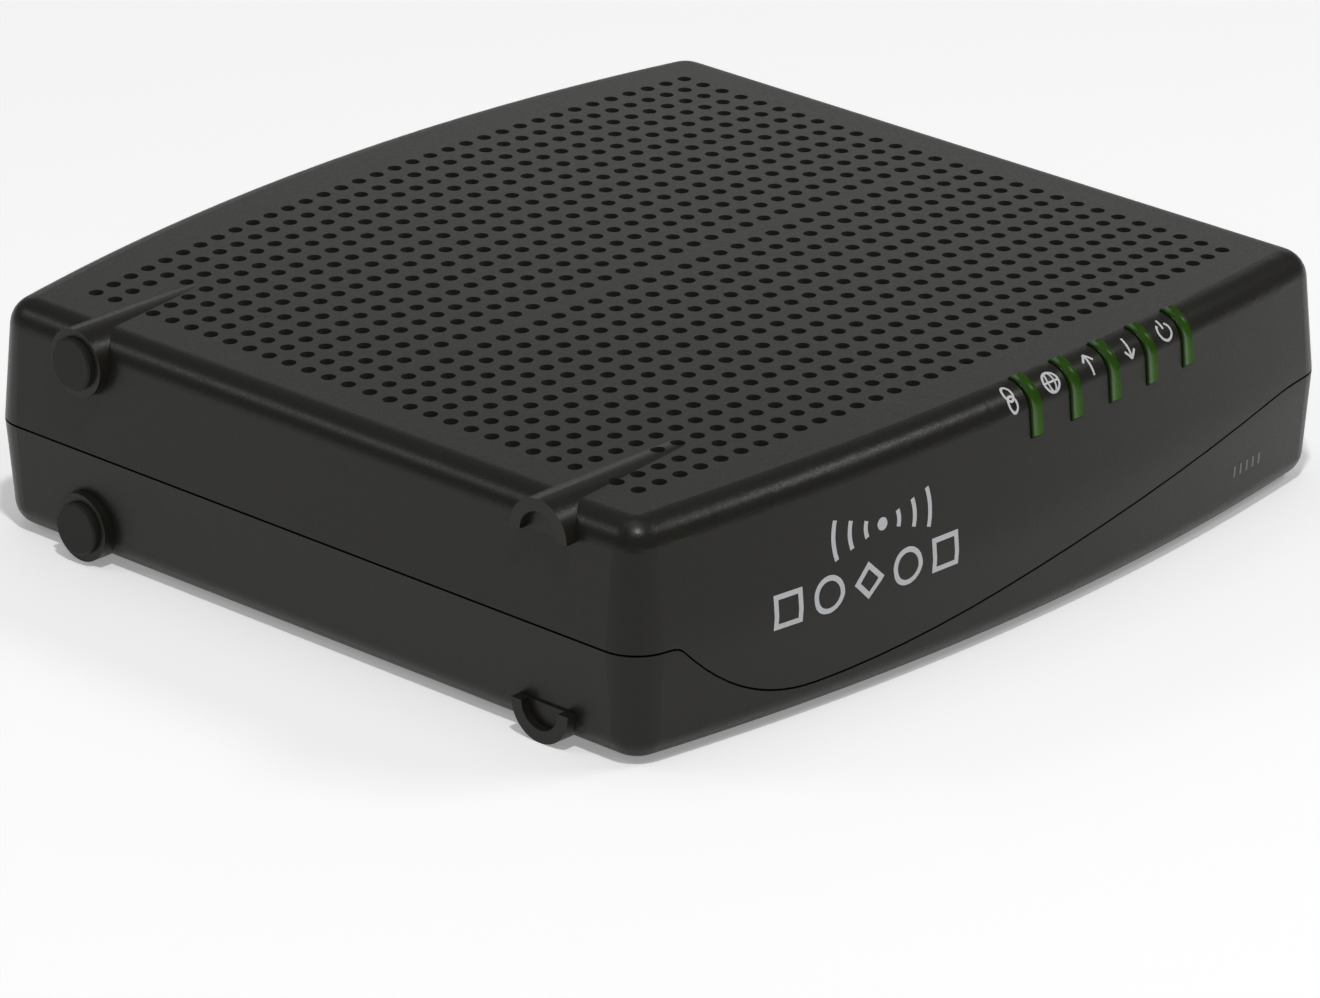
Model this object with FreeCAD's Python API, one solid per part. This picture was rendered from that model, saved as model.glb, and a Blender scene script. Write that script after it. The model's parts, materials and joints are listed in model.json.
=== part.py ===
"""Cable modem in a two-piece vented housing, lying flat with its perforated face up.

Frame: millimetres, +Z up through the vents, -Y the front face with the status lights, -X the side
with the four foot rings, +Y the connector side. The origin is on the surface the modem lies on,
below the centre of its bounding box. The housing is drawn about its own centre line and moved by
ORIGIN_SHIFT when it is written out.
"""
import FreeCAD
import Part
import math
import os

# ---------------------------------------------------------------- driving dimensions (millimetres)
# plan of the housing at the parting line
HALF_WIDTH = 78.6
HALF_DEPTH = 75.4          # at the middle of the front and back faces
FACE_BULGE = 7.3           # front and back faces bow out by this much
CORNER_R = 6.6
DRAFT = math.radians(4.7)  # every wall leans in above and below the parting line

# heights
BOTTOM_Z = 0.35            # underside; only the front foot ring and the rest pads go lower
PARTING_Z = 18.1
RIM_Z = 37.6               # top surface at the left and right edges
CROWN = 1.4                # the top is this much higher along its centre line
TOP_EDGE_R = 4.6
BOTTOM_EDGE_R = 4.2
WALL = 2.2
TOP_PLATE = 2.0
FLOOR = 2.2
SEAM = 0.35                # visible gap between the two shells
LIP_GAP = 0.15
LIP_T = 1.1
LIP_RISE = 1.8

# vent grid
VENT_COLUMNS = 34
VENT_ROWS_PER_SIDE = 14
VENT_PITCH_X = 4.0
VENT_PITCH_Y = 4.23
VENT_R = 1.15
VENT_MID_GAP = 0.32        # extra gap between the two halves of the grid
VENT_BOW_INNER = 0.56      # how far the middle of the first row bows away from the centre
VENT_BOW_OUTER = 3.3       # the same for the last row
RIDGE_ROW = 11             # the ridges interrupt this row on each side
RIDGE_MISSING = 3          # its first three holes

# foot rings on the -X side
RING_Y_REAR = 47.8
RING_Y_FRONT = -50.0
RING_Z_TOP = 32.85
RING_Z_LOW = 5.75
FRONT_RING_R = 5.75
REAR_RING_R = 5.5
RING_INNER_R = 3.7
RING_FACE_X = -79.4
RING_RIDGE_X = -50.0       # inner end of the ridge that runs on from each ring
RUBBER_R = 4.2
RUBBER_X = -80.5
POCKET_X = -78.0

# status lights
PIPE_NAMES = ("link", "online", "upstream", "downstream", "power")
PIPE_FIRST_X = 2.4
PIPE_PITCH = 9.3
PIPE_W = 2.5
PIPE_T = 1.6               # depth below the housing's surface
PIPE_PROUD = 0.45          # height above the housing's surface
PIPE_EDGE_R = 0.3
PIPE_SLOT_GAP = 0.2
PIPE_LOW_Z = 30.8
PIPE_BACK_INSET = 5.7      # inner end on the top, measured from the parting outline
LEG_Y = -61.5             # the pipes' legs stand over their lights here
LEG_T = 2.2
LED_W = 2.0
LED_D = 1.3
LED_H = 0.8
SHROUD_H = 6.0

# rear connector bay
PANEL_Y = 66.5             # outer face of the connector panel
PANEL_T = 2.0
BAY_HALF_W = 52.0
BAY_Z = (6.5, 30.5)
BAY_WALL = 2.0

# main board
BOARD_Z = 9.0
BOARD_T = 1.6
BOARD_HALF_W = 66.0
BOARD_FRONT_Y = -60.0
BOARD_REAR_Y = 63.0

# what is on the board
CHIP_H = 1.4
PAD_H = 0.8
SINK_X = -12.0
SINK_Y = -10.0
SINK_SIZE = 38.0
SINK_BASE_H = 2.5
SINK_H = 12.0
SINK_PIN_R = 1.3
TUNER = (16.0, 52.0, 10.0, 44.0)   # x from, x to, y from, y to
TUNER_H = 4.6
TUNER_SHEET = 0.4

# screws
POST_MEET_Z = 12.0         # the two shells' screw posts meet here
SHELL_SCREW_X = 71.4
SHELL_SCREW_Y = 40.0
SHELL_POST_R = 3.2
BOARD_SCREW_X = 60.0
BOARD_SCREW_Y = 42.0
SCREW_R = 1.4
HEAD_R = 2.6
HEAD_H = 1.8
HEAD_SEAT_Z = 3.15         # the shell screws' heads bear here, inside a counterbore
RECESS_W = 0.5             # cross recess in each screw head
RECESS_LENGTH = 2.8
RECESS_DEPTH = 1.1
REST_PAD_X = 66.0          # four low moulded pads that the modem rests on when it lies flat
REST_PAD_Y = 50.0
REST_PAD_R = 4.0

# connectors on the rear panel; heights above the board are from its top face
JACK_FRAME = 0.2           # gap between a connector and its panel opening
POWER_X = -36.0
POWER_W = 9.2
POWER_H = 11.0
POWER_REAR_Y = 52.5
POWER_AXIS_H = 5.8
POWER_BORE_R = 3.1
POWER_BORE_Y = 56.0
POWER_PIN_R = 1.05
POWER_PIN_Y = (53.5, 64.9)
ETHERNET_X = -9.0
ETHERNET_W = 15.2
ETHERNET_H = 13.0
ETHERNET_REAR_Y = 45.6
ETHERNET_SHEET = 0.25
SOCKET_W = 11.8
SOCKET_H = (3.3, 10.1)
SOCKET_REAR_Y = 53.0
LATCH_W = 6.4
LATCH_H = 1.7
CONTACT_PITCH = 1.02
CONTACT_W = 0.4
RESET_X = 13.0
RESET_HOLE_R = 1.2
SWITCH_SIZE = 6.0
SWITCH_Y = (58.6, 62.0)
PLUNGER_H = 3.2
PLUNGER_R = 1.7
PLUNGER_Y = (60.2, 63.9)
PLUNGER_TRAVEL = 0.5
PLUNGER_CLEARANCE = 0.05
COAX_X = 34.0
COAX_AXIS_H = 7.4
COAX_R = 4.76              # 3/8-32 thread, outer radius
COAX_BORE_R = 3.8
COAX_COLLAR_R = 5.8
COAX_BLOCK_W = 14.0
COAX_BLOCK_Y = (50.5, 63.9)
COAX_BORE_Y = 58.0
COAX_END_Y = 75.2
COAX_CONTACT_R = 1.0
COAX_HOLE_R = 0.6

# worked out from the above
BOARD_TOP = BOARD_Z + BOARD_T
FACE_R = (HALF_WIDTH ** 2 + FACE_BULGE ** 2) / (2 * FACE_BULGE)
FACE_CENTRE = FACE_R - HALF_DEPTH
CROWN_R = (HALF_WIDTH ** 2 + CROWN ** 2) / (2 * CROWN)
TOP_Z = RIM_Z + CROWN
PANEL_INNER_Y = PANEL_Y - PANEL_T
LEFT_X = RUBBER_X
ORIGIN_SHIFT = FreeCAD.Vector(-(LEFT_X + HALF_WIDTH) / 2, 0, 0)

V = FreeCAD.Vector
X_AXIS, Y_AXIS, Z_AXIS = V(1, 0, 0), V(0, 1, 0), V(0, 0, 1)


# ---------------------------------------------------------------- small helpers
def block(x0, x1, y0, y1, z0, z1):
    return Part.makeBox(x1 - x0, y1 - y0, z1 - z0, V(x0, y0, z0))


def rod(r, start, length, axis=Z_AXIS):
    return Part.makeCylinder(r, length, V(*start), axis)


def fuse_all(shapes):
    first, rest = shapes[0], shapes[1:]
    return first.fuse(rest).removeSplitter() if rest else first


def mirrored_places(x, y):
    return [(sx * x, sy * y) for sx in (-1, 1) for sy in (-1, 1)]


def polygon_prism(points, vector):
    wire = Part.makePolygon(points + points[:1])
    return Part.Face(wire).extrude(vector)


# ---------------------------------------------------------------- the housing's overall form
def outline(inset, z):
    """Closed plan outline at height z: straight sides, bowed front and back, round corners."""
    corner_x = HALF_WIDTH - CORNER_R
    corner_y = math.sqrt((FACE_R - CORNER_R) ** 2 - corner_x ** 2) - FACE_CENTRE
    r = CORNER_R - inset
    side_x = HALF_WIDTH - inset
    face_y = HALF_DEPTH - inset
    lean = math.atan2(corner_x, corner_y + FACE_CENTRE)
    tangent = (corner_x + r * math.sin(lean), corner_y + r * math.cos(lean))
    half_turn = (math.pi / 2 + lean) / 2
    corner_mid = (corner_x + r * math.sin(half_turn), corner_y + r * math.cos(half_turn))

    def at(p, sx, sy):
        return V(sx * p[0], sy * p[1], z)

    def corner(sx, sy):
        side, middle, face = at((side_x, corner_y), sx, sy), at(corner_mid, sx, sy), at(tangent, sx, sy)
        points = (side, middle, face) if sx == sy else (face, middle, side)
        return Part.Arc(*points)

    def face(sy):
        ends = at(tangent, 1, sy), at(tangent, -1, sy)
        start, end = ends if sy > 0 else ends[::-1]
        return Part.Arc(start, V(0, sy * face_y, z), end)

    def side(sx):
        low, high = V(sx * side_x, -corner_y, z), V(sx * side_x, corner_y, z)
        return Part.LineSegment(low, high) if sx > 0 else Part.LineSegment(high, low)

    loop = [side(1), corner(1, 1), face(1), corner(-1, 1), side(-1), corner(-1, -1), face(-1), corner(1, -1)]
    return Part.Wire([piece.toShape() for piece in loop])


def drafted(inset, z0, z1):
    """Housing-shaped solid between two heights, its walls leaning in away from the parting line."""
    levels = [z0] + ([PARTING_Z] if z0 < PARTING_Z < z1 else []) + [z1]
    pieces = []
    for low, high in zip(levels, levels[1:]):
        wires = [outline(inset + abs(z - PARTING_Z) * math.tan(DRAFT), z) for z in (low, high)]
        pieces.append(Part.makeLoft(wires, True, True))
    return fuse_all(pieces) if len(pieces) > 1 else pieces[0]


def crowned(top_z):
    """Everything below a top surface that is arched from side to side, with its crest at top_z."""
    return rod(CROWN_R, (0, -2 * HALF_DEPTH, top_z - CROWN_R), 4 * HALF_DEPTH, Y_AXIS)


def round_edges(solid, z_test, radius):
    edges = [e for e in solid.Edges if z_test(e)]
    return solid.makeFillet(radius, edges)


def offset_form(distance):
    """The housing moved outwards by a distance, or inwards when it is negative, with its top edge round."""
    body = drafted(-distance, BOTTOM_Z, TOP_Z + 2).common(crowned(TOP_Z + distance))
    return round_edges(body, lambda e: e.BoundBox.ZMin > RIM_Z + distance - 1, TOP_EDGE_R + distance)


def outer_form():
    return round_edges(offset_form(0), lambda e: e.BoundBox.ZMax < BOTTOM_Z + 0.01, BOTTOM_EDGE_R)


def cavity():
    return drafted(WALL, BOTTOM_Z + FLOOR, TOP_Z).common(crowned(TOP_Z - TOP_PLATE))


# ---------------------------------------------------------------- the parting line
def parting_edges(dz):
    """The seam as seen from the front: level at both ends, a short S down on the left of the front,
    then a long slow climb to the right."""
    def p(x, z):
        return V(x, 0, z + dz)

    def bezier(*points):
        curve = Part.BezierCurve()
        curve.setPoles([p(*q) for q in points])
        return curve.toShape()

    reach = HALF_WIDTH + 10
    s_top, s_start = (-72.0, PARTING_Z), (-69.5, PARTING_Z - 0.9)
    low, climb = (-44.0, 4.95), (-5.0, 8.2)
    climb_end, level = (62.0, 17.5), (69.0, PARTING_Z)
    return [
        Part.makeLine(p(-reach, PARTING_Z), p(*s_top)),
        bezier(s_top, (-70.4, PARTING_Z), s_start),
        bezier(s_start, (-63.8, 11.4), (-56.0, 4.95), low),
        bezier(low, (-32.0, 4.95), (-18.0, 6.4), climb),
        Part.makeLine(p(*climb), p(*climb_end)),
        bezier(climb_end, (66.3, PARTING_Z), level),
        Part.makeLine(p(*level), p(reach, PARTING_Z)),
    ]


def above_parting(dz):
    """Everything above the seam moved by dz."""
    reach, high, front_y = HALF_WIDTH + 10, TOP_Z + 30, -HALF_DEPTH - 10
    step_y = -58.0
    seam = parting_edges(dz)
    closing = Part.makePolygon([
        V(reach, 0, PARTING_Z + dz), V(reach, 0, high), V(-reach, 0, high), V(-reach, 0, PARTING_Z + dz),
    ])
    face = Part.Face(Part.Wire(seam + closing.Edges))
    face.translate(V(0, front_y, 0))
    front = face.extrude(V(0, step_y - front_y, 0))
    rear = block(-reach, reach, step_y, HALF_DEPTH + 10, PARTING_Z + dz, high)
    return front.fuse(rear)


def seam_lip():
    """Tongue of the lower shell that stands up just inside the upper shell's wall."""
    outer = WALL + LIP_GAP
    tube = drafted(outer, BOTTOM_Z + FLOOR, TOP_Z - 8).cut(drafted(outer + LIP_T, BOTTOM_Z, TOP_Z))
    band = above_parting(-2.0).cut(above_parting(LIP_RISE))
    root = drafted(WALL - 0.3, BOTTOM_Z + FLOOR, PARTING_Z + 4).cut(drafted(outer + LIP_T, BOTTOM_Z, TOP_Z))
    root_band = above_parting(-2.0).cut(above_parting(-SEAM / 2 - 0.2))
    lip = tube.common(band).fuse(root.common(root_band))
    return lip.cut(bay_tunnel())


# ---------------------------------------------------------------- foot rings and their ridges
def ring_places():
    return [(y, z) for y in (RING_Y_FRONT, RING_Y_REAR) for z in (RING_Z_LOW, RING_Z_TOP)]


def half_space(y, z):
    """The half of a front ring that stays: the half that faces the nearer large surface."""
    up = z > PARTING_Z
    reach = 2 * FRONT_RING_R
    span = (z, z + reach) if up else (z - reach, z)
    return block(RING_FACE_X - 1, RING_RIDGE_X + 1, y - reach, y + reach, *span)


def foot_rings():
    """Four short cylinders on the -X side; each runs on inboard and fades into the crowned surface."""
    rings = []
    for y, z in ring_places():
        r = REAR_RING_R if y > 0 else FRONT_RING_R
        cylinder = rod(r, (RING_FACE_X, y, z), RING_RIDGE_X - RING_FACE_X, X_AXIS)
        rings.append(cylinder if y > 0 else cylinder.common(half_space(y, z)))
    return rings


def ring_hollows():
    """Round pockets: filled by rubber discs at the rear, open down to the wall at the front."""
    hollows = []
    for y, z in ring_places():
        r = RUBBER_R if y > 0 else RING_INNER_R
        hollows.append(rod(r, (RING_FACE_X - 1, y, z), POCKET_X - RING_FACE_X + 1, X_AXIS))
    return hollows


def rubber_disc(z):
    disc = rod(RUBBER_R, (RUBBER_X, RING_Y_REAR, z), POCKET_X - RUBBER_X, X_AXIS)
    return disc.makeChamfer(0.3, [e for e in disc.Edges if e.BoundBox.XMax < RUBBER_X + 0.01])


# ---------------------------------------------------------------- vents
def vent_places():
    half = (VENT_COLUMNS - 1) / 2
    for side in (-1, 1):
        for row in range(VENT_ROWS_PER_SIDE):
            share = row / (VENT_ROWS_PER_SIDE - 1)
            bow = VENT_BOW_INNER + (VENT_BOW_OUTER - VENT_BOW_INNER) * share
            straight_y = VENT_MID_GAP / 2 + (row + 0.5) * VENT_PITCH_Y
            first = RIDGE_MISSING if row == RIDGE_ROW else 0
            for column in range(first, VENT_COLUMNS):
                across = (column - half) / half
                yield (column - half) * VENT_PITCH_X, side * (straight_y + bow * (1 - across ** 2))


def vents():
    depth = TOP_PLATE + 6
    return Part.makeCompound([rod(VENT_R, (x, y, TOP_Z - depth + 2), depth) for x, y in vent_places()])


# ---------------------------------------------------------------- connector bay
def bay_tunnel():
    """The bay's outside: the block that its four short walls fill."""
    return block(-BAY_HALF_W - BAY_WALL, BAY_HALF_W + BAY_WALL, PANEL_INNER_Y, HALF_DEPTH + 5,
                 BAY_Z[0] - BAY_WALL, BAY_Z[1] + BAY_WALL)


def bay_space():
    return block(-BAY_HALF_W, BAY_HALF_W, PANEL_INNER_Y - 1, HALF_DEPTH + 5, *BAY_Z)


def panel_slot():
    return block(-BAY_HALF_W - 1, BAY_HALF_W + 1, PANEL_INNER_Y - 1, PANEL_Y, BAY_Z[0] - 1, BAY_Z[1] + 1)


# ---------------------------------------------------------------- shells
def pipe_x(index):
    return PIPE_FIRST_X + index * PIPE_PITCH


def pipe_zone(index, half_width, grow):
    """Space one light pipe takes: from the top surface, round the edge and down the front."""
    x = pipe_x(index)
    back_y = FACE_R - HALF_DEPTH - math.sqrt(FACE_R ** 2 - x ** 2) + PIPE_BACK_INSET
    return block(x - half_width, x + half_width, -HALF_DEPTH - 2, back_y + grow,
                 PIPE_LOW_Z - grow, TOP_Z + 2)


def shell_screw_places():
    return mirrored_places(SHELL_SCREW_X, SHELL_SCREW_Y)


def board_screw_places():
    return mirrored_places(BOARD_SCREW_X, BOARD_SCREW_Y)


def shell_posts(z0, z1):
    return [rod(SHELL_POST_R, (x, y, z0), z1 - z0) for x, y in shell_screw_places()]


def top_shell(outer, hollow, above):
    shell = outer.fuse(foot_rings()).cut(hollow).common(above)
    tunnel = bay_tunnel().common(outer).common(above)
    posts = shell_posts(POST_MEET_Z, RIM_Z - 1)
    shell = shell.fuse([tunnel] + posts)
    slots = [pipe_zone(i, PIPE_W / 2 + PIPE_SLOT_GAP, PIPE_SLOT_GAP) for i in range(len(PIPE_NAMES))]
    wall_band = drafted(-1, BOTTOM_Z, TOP_Z + 2).cut(drafted(WALL + 1.5, BOTTOM_Z, RIM_Z - TOP_PLATE - 1))
    slots = [slot.common(wall_band) for slot in slots]
    pilots = [rod(SCREW_R, (x, y, POST_MEET_Z - 1), 9) for x, y in shell_screw_places()]
    shell = shell.cut([bay_space(), panel_slot()] + ring_hollows() + slots + pilots)
    return shell.cut(vents())


def bottom_shell(outer, hollow, above):
    shell = outer.fuse(foot_rings()).cut(hollow).cut(above)
    tunnel = bay_tunnel().common(outer).cut(above)
    posts = shell_posts(BOTTOM_Z + 1, POST_MEET_Z)
    standoffs = [rod(3.0, (x, y, BOTTOM_Z + 1), BOARD_Z - BOTTOM_Z - 1) for x, y in board_screw_places()]
    pads = [rod(REST_PAD_R, (x, y, 0), BOTTOM_Z + 0.5) for x, y in mirrored_places(REST_PAD_X, REST_PAD_Y)]
    shell = shell.fuse([tunnel, seam_lip()] + posts + standoffs + pads)
    drills = []
    for x, y in shell_screw_places():
        drills.append(rod(SCREW_R + 0.2, (x, y, 0), POST_MEET_Z + 1))
        drills.append(rod(HEAD_R + 0.2, (x, y, 0), HEAD_SEAT_Z))
    for x, y in board_screw_places():
        drills.append(rod(SCREW_R, (x, y, BOARD_Z - 4.6), 6))
    return shell.cut([bay_space(), panel_slot()] + ring_hollows() + drills)


def screw(x, y, seat_z, length, up):
    """Pan-head screw with a cross recess; its head stands on seat_z and faces up or down."""
    away = 1 if up else -1
    head = rod(HEAD_R, (x, y, seat_z), HEAD_H, Z_AXIS * away)
    rim_z = seat_z + away * HEAD_H
    head = head.makeFillet(0.6, [e for e in head.Edges if abs(e.CenterOfMass.z - rim_z) < 0.01])
    shank = rod(SCREW_R, (x, y, seat_z), length, Z_AXIS * -away)
    long, short = RECESS_LENGTH / 2, RECESS_W / 2
    low, high = sorted((rim_z + away, rim_z - away * RECESS_DEPTH))
    cross = [block(x - long, x + long, y - short, y + short, low, high),
             block(x - short, x + short, y - long, y + long, low, high)]
    return head.fuse(shank).cut(cross)


def shell_screws():
    """Four screws that go in from below, through the lower shell's posts into the upper shell's."""
    length = POST_MEET_Z + 6 - HEAD_SEAT_Z
    return Part.makeCompound([screw(x, y, HEAD_SEAT_Z, length, up=False) for x, y in shell_screw_places()])


def rating_label():
    return block(-32, 32, -18, 18, BOTTOM_Z - 0.12, BOTTOM_Z)


# ---------------------------------------------------------------- status lights
def rim_edges(strip, raised):
    """The edges round the outer face of a light pipe's strip, which lies on the raised surface."""
    end_y = max(corner.Y for corner in strip.Vertexes)

    def on_border(edge):
        a, b = edge.Vertexes
        return abs(a.X - b.X) < 0.01 or max(a.Z, b.Z) < PIPE_LOW_Z + 0.01 or min(a.Y, b.Y) > end_y - 0.01

    def shows(edge):
        middle = edge.valueAt((edge.FirstParameter + edge.LastParameter) / 2)
        return raised.distToShape(Part.Vertex(middle))[0] < 0.01

    return [edge for edge in strip.Edges if on_border(edge) and shows(edge)]


def light_pipe(index, raised, layer, outer):
    """Strip just proud of the housing, and a leg from its front end back and down to its light."""
    x = pipe_x(index)
    half = LEG_T / 2
    arm_z = PIPE_LOW_Z + 0.2
    strip = layer.common(pipe_zone(index, PIPE_W / 2, 0))
    strip = strip.makeFillet(PIPE_EDGE_R, rim_edges(strip, raised))
    arm = block(x - half, x + half, -HALF_DEPTH, LEG_Y + half, arm_z, arm_z + LEG_T).common(outer)
    leg = block(x - half, x + half, LEG_Y - half, LEG_Y + half, BOARD_TOP + LED_H + 0.4, arm_z + LEG_T)
    return fuse_all([strip, arm, leg])


def over_each_led(half_x, half_y, height):
    """One block on the board at each status light."""
    return [block(pipe_x(i) - half_x, pipe_x(i) + half_x, LEG_Y - half_y, LEG_Y + half_y,
                  BOARD_TOP, BOARD_TOP + height) for i in range(len(PIPE_NAMES))]


def status_leds():
    return Part.makeCompound(over_each_led(LED_W / 2, LED_D / 2, LED_H))


def light_shroud():
    """Opaque comb on the board that keeps each light to its own pipe."""
    wells = over_each_led(LEG_T / 2 + 0.2, LEG_T / 2 + 0.2, SHROUD_H)
    first, last = pipe_x(0), pipe_x(len(PIPE_NAMES) - 1)
    body = block(first - 4, last + 4, LEG_Y - 2.6, LEG_Y + 2.6, BOARD_TOP, BOARD_TOP + SHROUD_H)
    return body.cut(wells)


# ---------------------------------------------------------------- rear panel and connectors
def rear_panel():
    panel = block(-BAY_HALF_W - 1, BAY_HALF_W + 1, PANEL_INNER_Y, PANEL_Y, BAY_Z[0] - 1, BAY_Z[1] + 1)
    y0, y1 = PANEL_INNER_Y - 1, PANEL_Y + 1

    def jack_opening(x, width, height):
        half = width / 2 + JACK_FRAME
        return block(x - half, x + half, y0, y1, BOARD_TOP - JACK_FRAME, BOARD_TOP + height + JACK_FRAME)

    return panel.cut([
        jack_opening(POWER_X, POWER_W, POWER_H),
        jack_opening(ETHERNET_X, ETHERNET_W + 2 * ETHERNET_SHEET, ETHERNET_H + ETHERNET_SHEET),
        rod(RESET_HOLE_R, (RESET_X, y0, BOARD_TOP + PLUNGER_H), y1 - y0, Y_AXIS),
        rod(COAX_COLLAR_R + JACK_FRAME, (COAX_X, y0, BOARD_TOP + COAX_AXIS_H), y1 - y0, Y_AXIS),
    ])


def power_rod(r, y0, y1):
    return rod(r, (POWER_X, y0, BOARD_TOP + POWER_AXIS_H), y1 - y0, Y_AXIS)


def power_jack_body():
    half = POWER_W / 2
    body = block(POWER_X - half, POWER_X + half, POWER_REAR_Y, PANEL_Y - JACK_FRAME,
                 BOARD_TOP, BOARD_TOP + POWER_H)
    bore = power_rod(POWER_BORE_R, POWER_BORE_Y, PANEL_Y + 1)
    pin_seat = power_rod(POWER_PIN_R, POWER_PIN_Y[0], POWER_BORE_Y + 1)
    return body.cut([bore, pin_seat, power_jack_contact()])


def power_jack_pin():
    pin = power_rod(POWER_PIN_R, *POWER_PIN_Y)
    return pin.makeChamfer(0.3, [e for e in pin.Edges if e.BoundBox.YMin > POWER_PIN_Y[1] - 0.01])


def power_jack_contact():
    """Flat spring let into the bottom of the jack's bore."""
    low = BOARD_TOP + POWER_AXIS_H - POWER_BORE_R
    return block(POWER_X - 0.9, POWER_X + 0.9, POWER_PIN_Y[0] + 0.5, POWER_PIN_Y[1] - 1,
                 low - 0.3, low + 0.25)


def ethernet_housing():
    x, z, half = ETHERNET_X, BOARD_TOP, ETHERNET_W / 2
    body = block(x - half, x + half, ETHERNET_REAR_Y, PANEL_Y - 0.3, z, z + ETHERNET_H)
    socket = block(x - SOCKET_W / 2, x + SOCKET_W / 2, SOCKET_REAR_Y, PANEL_Y + 1,
                   z + SOCKET_H[0], z + SOCKET_H[1])
    latch_way = block(x - LATCH_W / 2, x + LATCH_W / 2, SOCKET_REAR_Y + 1, PANEL_Y + 1,
                      z + LATCH_H, z + SOCKET_H[0])
    return body.cut([socket, latch_way])


def ethernet_contacts():
    """Eight springs that slope down from the roof of the socket to its back."""
    roof, back = BOARD_TOP + SOCKET_H[1], SOCKET_REAR_Y
    side = [(back, roof - 2.2), (back + 10.6, roof), (back + 7.9, roof), (back, roof - 1.8)]
    springs = []
    for i in range(8):
        x = ETHERNET_X + (i - 3.5) * CONTACT_PITCH - CONTACT_W / 2
        springs.append(polygon_prism([V(x, y, z) for y, z in side], V(CONTACT_W, 0, 0)))
    return Part.makeCompound(springs)


def ethernet_shield():
    """Sheet-metal box round the socket, open towards the panel and the board."""
    x, z, half, t = ETHERNET_X, BOARD_TOP, ETHERNET_W / 2, ETHERNET_SHEET
    skin = block(x - half - t, x + half + t, ETHERNET_REAR_Y - t, PANEL_Y, z, z + ETHERNET_H + t)
    return skin.cut(block(x - half, x + half, ETHERNET_REAR_Y, PANEL_Y + 1, z, z + ETHERNET_H))


def ethernet_magnetics():
    return chip(ETHERNET_X, 36.0, 16.0, 11.0, 6.0, 0.4)


def reset_rod(r, y0, y1):
    return rod(r, (RESET_X, y0, BOARD_TOP + PLUNGER_H), y1 - y0, Y_AXIS)


def reset_switch():
    half = SWITCH_SIZE / 2
    body = block(RESET_X - half, RESET_X + half, *SWITCH_Y, BOARD_TOP, BOARD_TOP + SWITCH_SIZE)
    bore_end = PLUNGER_Y[0] - PLUNGER_TRAVEL - 0.1
    return body.cut(reset_rod(PLUNGER_R + PLUNGER_CLEARANCE, bore_end, SWITCH_Y[1] + 1))


def reset_button():
    button = reset_rod(PLUNGER_R, *PLUNGER_Y)
    return button.makeChamfer(0.25, [e for e in button.Edges if e.BoundBox.YMin > PLUNGER_Y[1] - 0.01])


def coax_rod(r, y0, y1):
    return rod(r, (COAX_X, y0, BOARD_TOP + COAX_AXIS_H), y1 - y0, Y_AXIS)


def coax_body():
    """Die-cast block on the board, a collar in the panel and the threaded barrel outside it."""
    half = COAX_BLOCK_W / 2
    base = block(COAX_X - half, COAX_X + half, *COAX_BLOCK_Y, BOARD_TOP, BOARD_TOP + COAX_BLOCK_W - 0.1)
    collar = coax_rod(COAX_COLLAR_R, COAX_BLOCK_Y[1], PANEL_Y)
    barrel = coax_rod(COAX_R, PANEL_Y, COAX_END_Y)
    barrel = barrel.makeChamfer(0.4, [e for e in barrel.Edges if e.BoundBox.YMin > COAX_END_Y - 0.01])
    return fuse_all([base, collar, barrel]).cut(coax_rod(COAX_BORE_R, COAX_BORE_Y, COAX_END_Y + 1))


def coax_insulator():
    plug = coax_rod(COAX_BORE_R, COAX_BORE_Y, COAX_END_Y - 0.5)
    contact_room = coax_rod(COAX_CONTACT_R, COAX_BORE_Y, COAX_END_Y - 3)
    return plug.cut([contact_room, coax_rod(COAX_HOLE_R, COAX_BORE_Y, COAX_END_Y)])


def coax_contact():
    tube = coax_rod(COAX_CONTACT_R, COAX_BORE_Y, COAX_END_Y - 3)
    return tube.cut(coax_rod(COAX_HOLE_R - 0.05, COAX_BORE_Y, COAX_END_Y))


# ---------------------------------------------------------------- board and what is on it
def chip(x, y, size_x, size_y, height, edge=0.2):
    """Rectangular package on the board with its upper edges broken."""
    top = BOARD_TOP + height
    body = block(x - size_x / 2, x + size_x / 2, y - size_y / 2, y + size_y / 2, BOARD_TOP, top)
    return body.makeChamfer(edge, [e for e in body.Edges if e.BoundBox.ZMin > top - 0.01])


def main_board():
    corner_r = 3.0
    board = block(-BOARD_HALF_W, BOARD_HALF_W, BOARD_FRONT_Y, BOARD_REAR_Y, BOARD_Z, BOARD_TOP)
    uprights = [e for e in board.Edges if e.BoundBox.ZLength > BOARD_T - 0.01]
    board = board.makeFillet(corner_r, uprights)
    tab_x0, tab_x1 = pipe_x(0) - 8, pipe_x(len(PIPE_NAMES) - 1) + 8
    tab = block(tab_x0, tab_x1, LEG_Y - 3.5, BOARD_FRONT_Y + 1, BOARD_Z, BOARD_TOP)
    holes = [rod(SCREW_R + 0.2, (x, y, BOARD_Z - 1), BOARD_T + 2) for x, y in board_screw_places()]
    holes += [rod(SINK_PIN_R, (x, y, BOARD_Z - 1), BOARD_T + 2) for x, y in sink_pin_places()]
    return fuse_all([board, tab]).cut(holes)


def board_screws():
    length = BOARD_T + 4.4
    return Part.makeCompound([screw(x, y, BOARD_TOP, length, up=True) for x, y in board_screw_places()])


def modem_chip():
    return chip(SINK_X, SINK_Y, 27, 27, CHIP_H)


def thermal_pad():
    base = BOARD_TOP + CHIP_H
    return block(SINK_X - 12, SINK_X + 12, SINK_Y - 12, SINK_Y + 12, base, base + PAD_H)


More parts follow.
